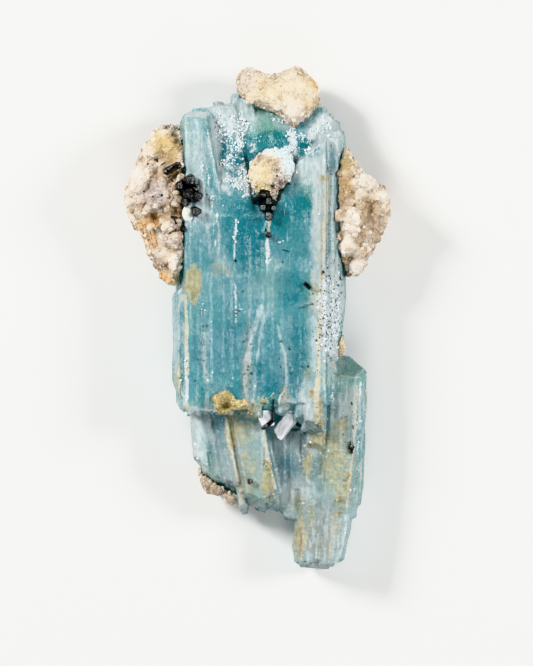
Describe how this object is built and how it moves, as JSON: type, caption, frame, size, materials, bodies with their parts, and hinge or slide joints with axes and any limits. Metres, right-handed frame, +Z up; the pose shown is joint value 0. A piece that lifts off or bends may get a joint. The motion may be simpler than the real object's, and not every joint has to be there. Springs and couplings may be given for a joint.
{
  "type": "aquamarine crystal specimen",
  "caption": "Intergrown aquamarine crystals with granular white feldspar, black schorl prisms and white blades, lying on the flat back of the main crystal.",
  "frame": {"origin": "on the ground, under the middle of the specimen's bounding box", "axes": "+X across the specimen, to the right as seen from the front; +Y along the crystals, towards their finished ends; +Z up, out of the front face"},
  "size_m": [0.0594, 0.1116, 0.0232],
  "materials": {
    "aquamarine": "striated, glossy to frosted, translucent",
    "feldspar": "granular, matt",
    "schorl": "glossy, striated",
    "white_blade": "pearly",
    "quartz": "waxy",
    "iron_crust": "crumbly, matt"
  },
  "bodies": {
    "root": {"beryl_crystals": "aquamarine", "feldspar_left": "feldspar", "feldspar_right": "feldspar", "feldspar_top": "feldspar", "feldspar_knob": "feldspar", "feldspar_lower": "feldspar", "feldspar_flake": "feldspar", "schorl_left_group": "schorl", "schorl_upper_left": "schorl", "schorl_hexagon": "schorl", "schorl_small_left": "schorl", "schorl_centre_group": "schorl", "schorl_drop": "schorl", "schorl_right": "schorl", "schorl_side": "schorl", "schorl_lower": "schorl", "schorl_foot": "schorl", "schorl_hook": "schorl", "blade_left": "white_blade", "blade_right": "white_blade", "quartz_bead": "quartz", "iron_crust": "iron_crust"}
  },
  "joints": []
}
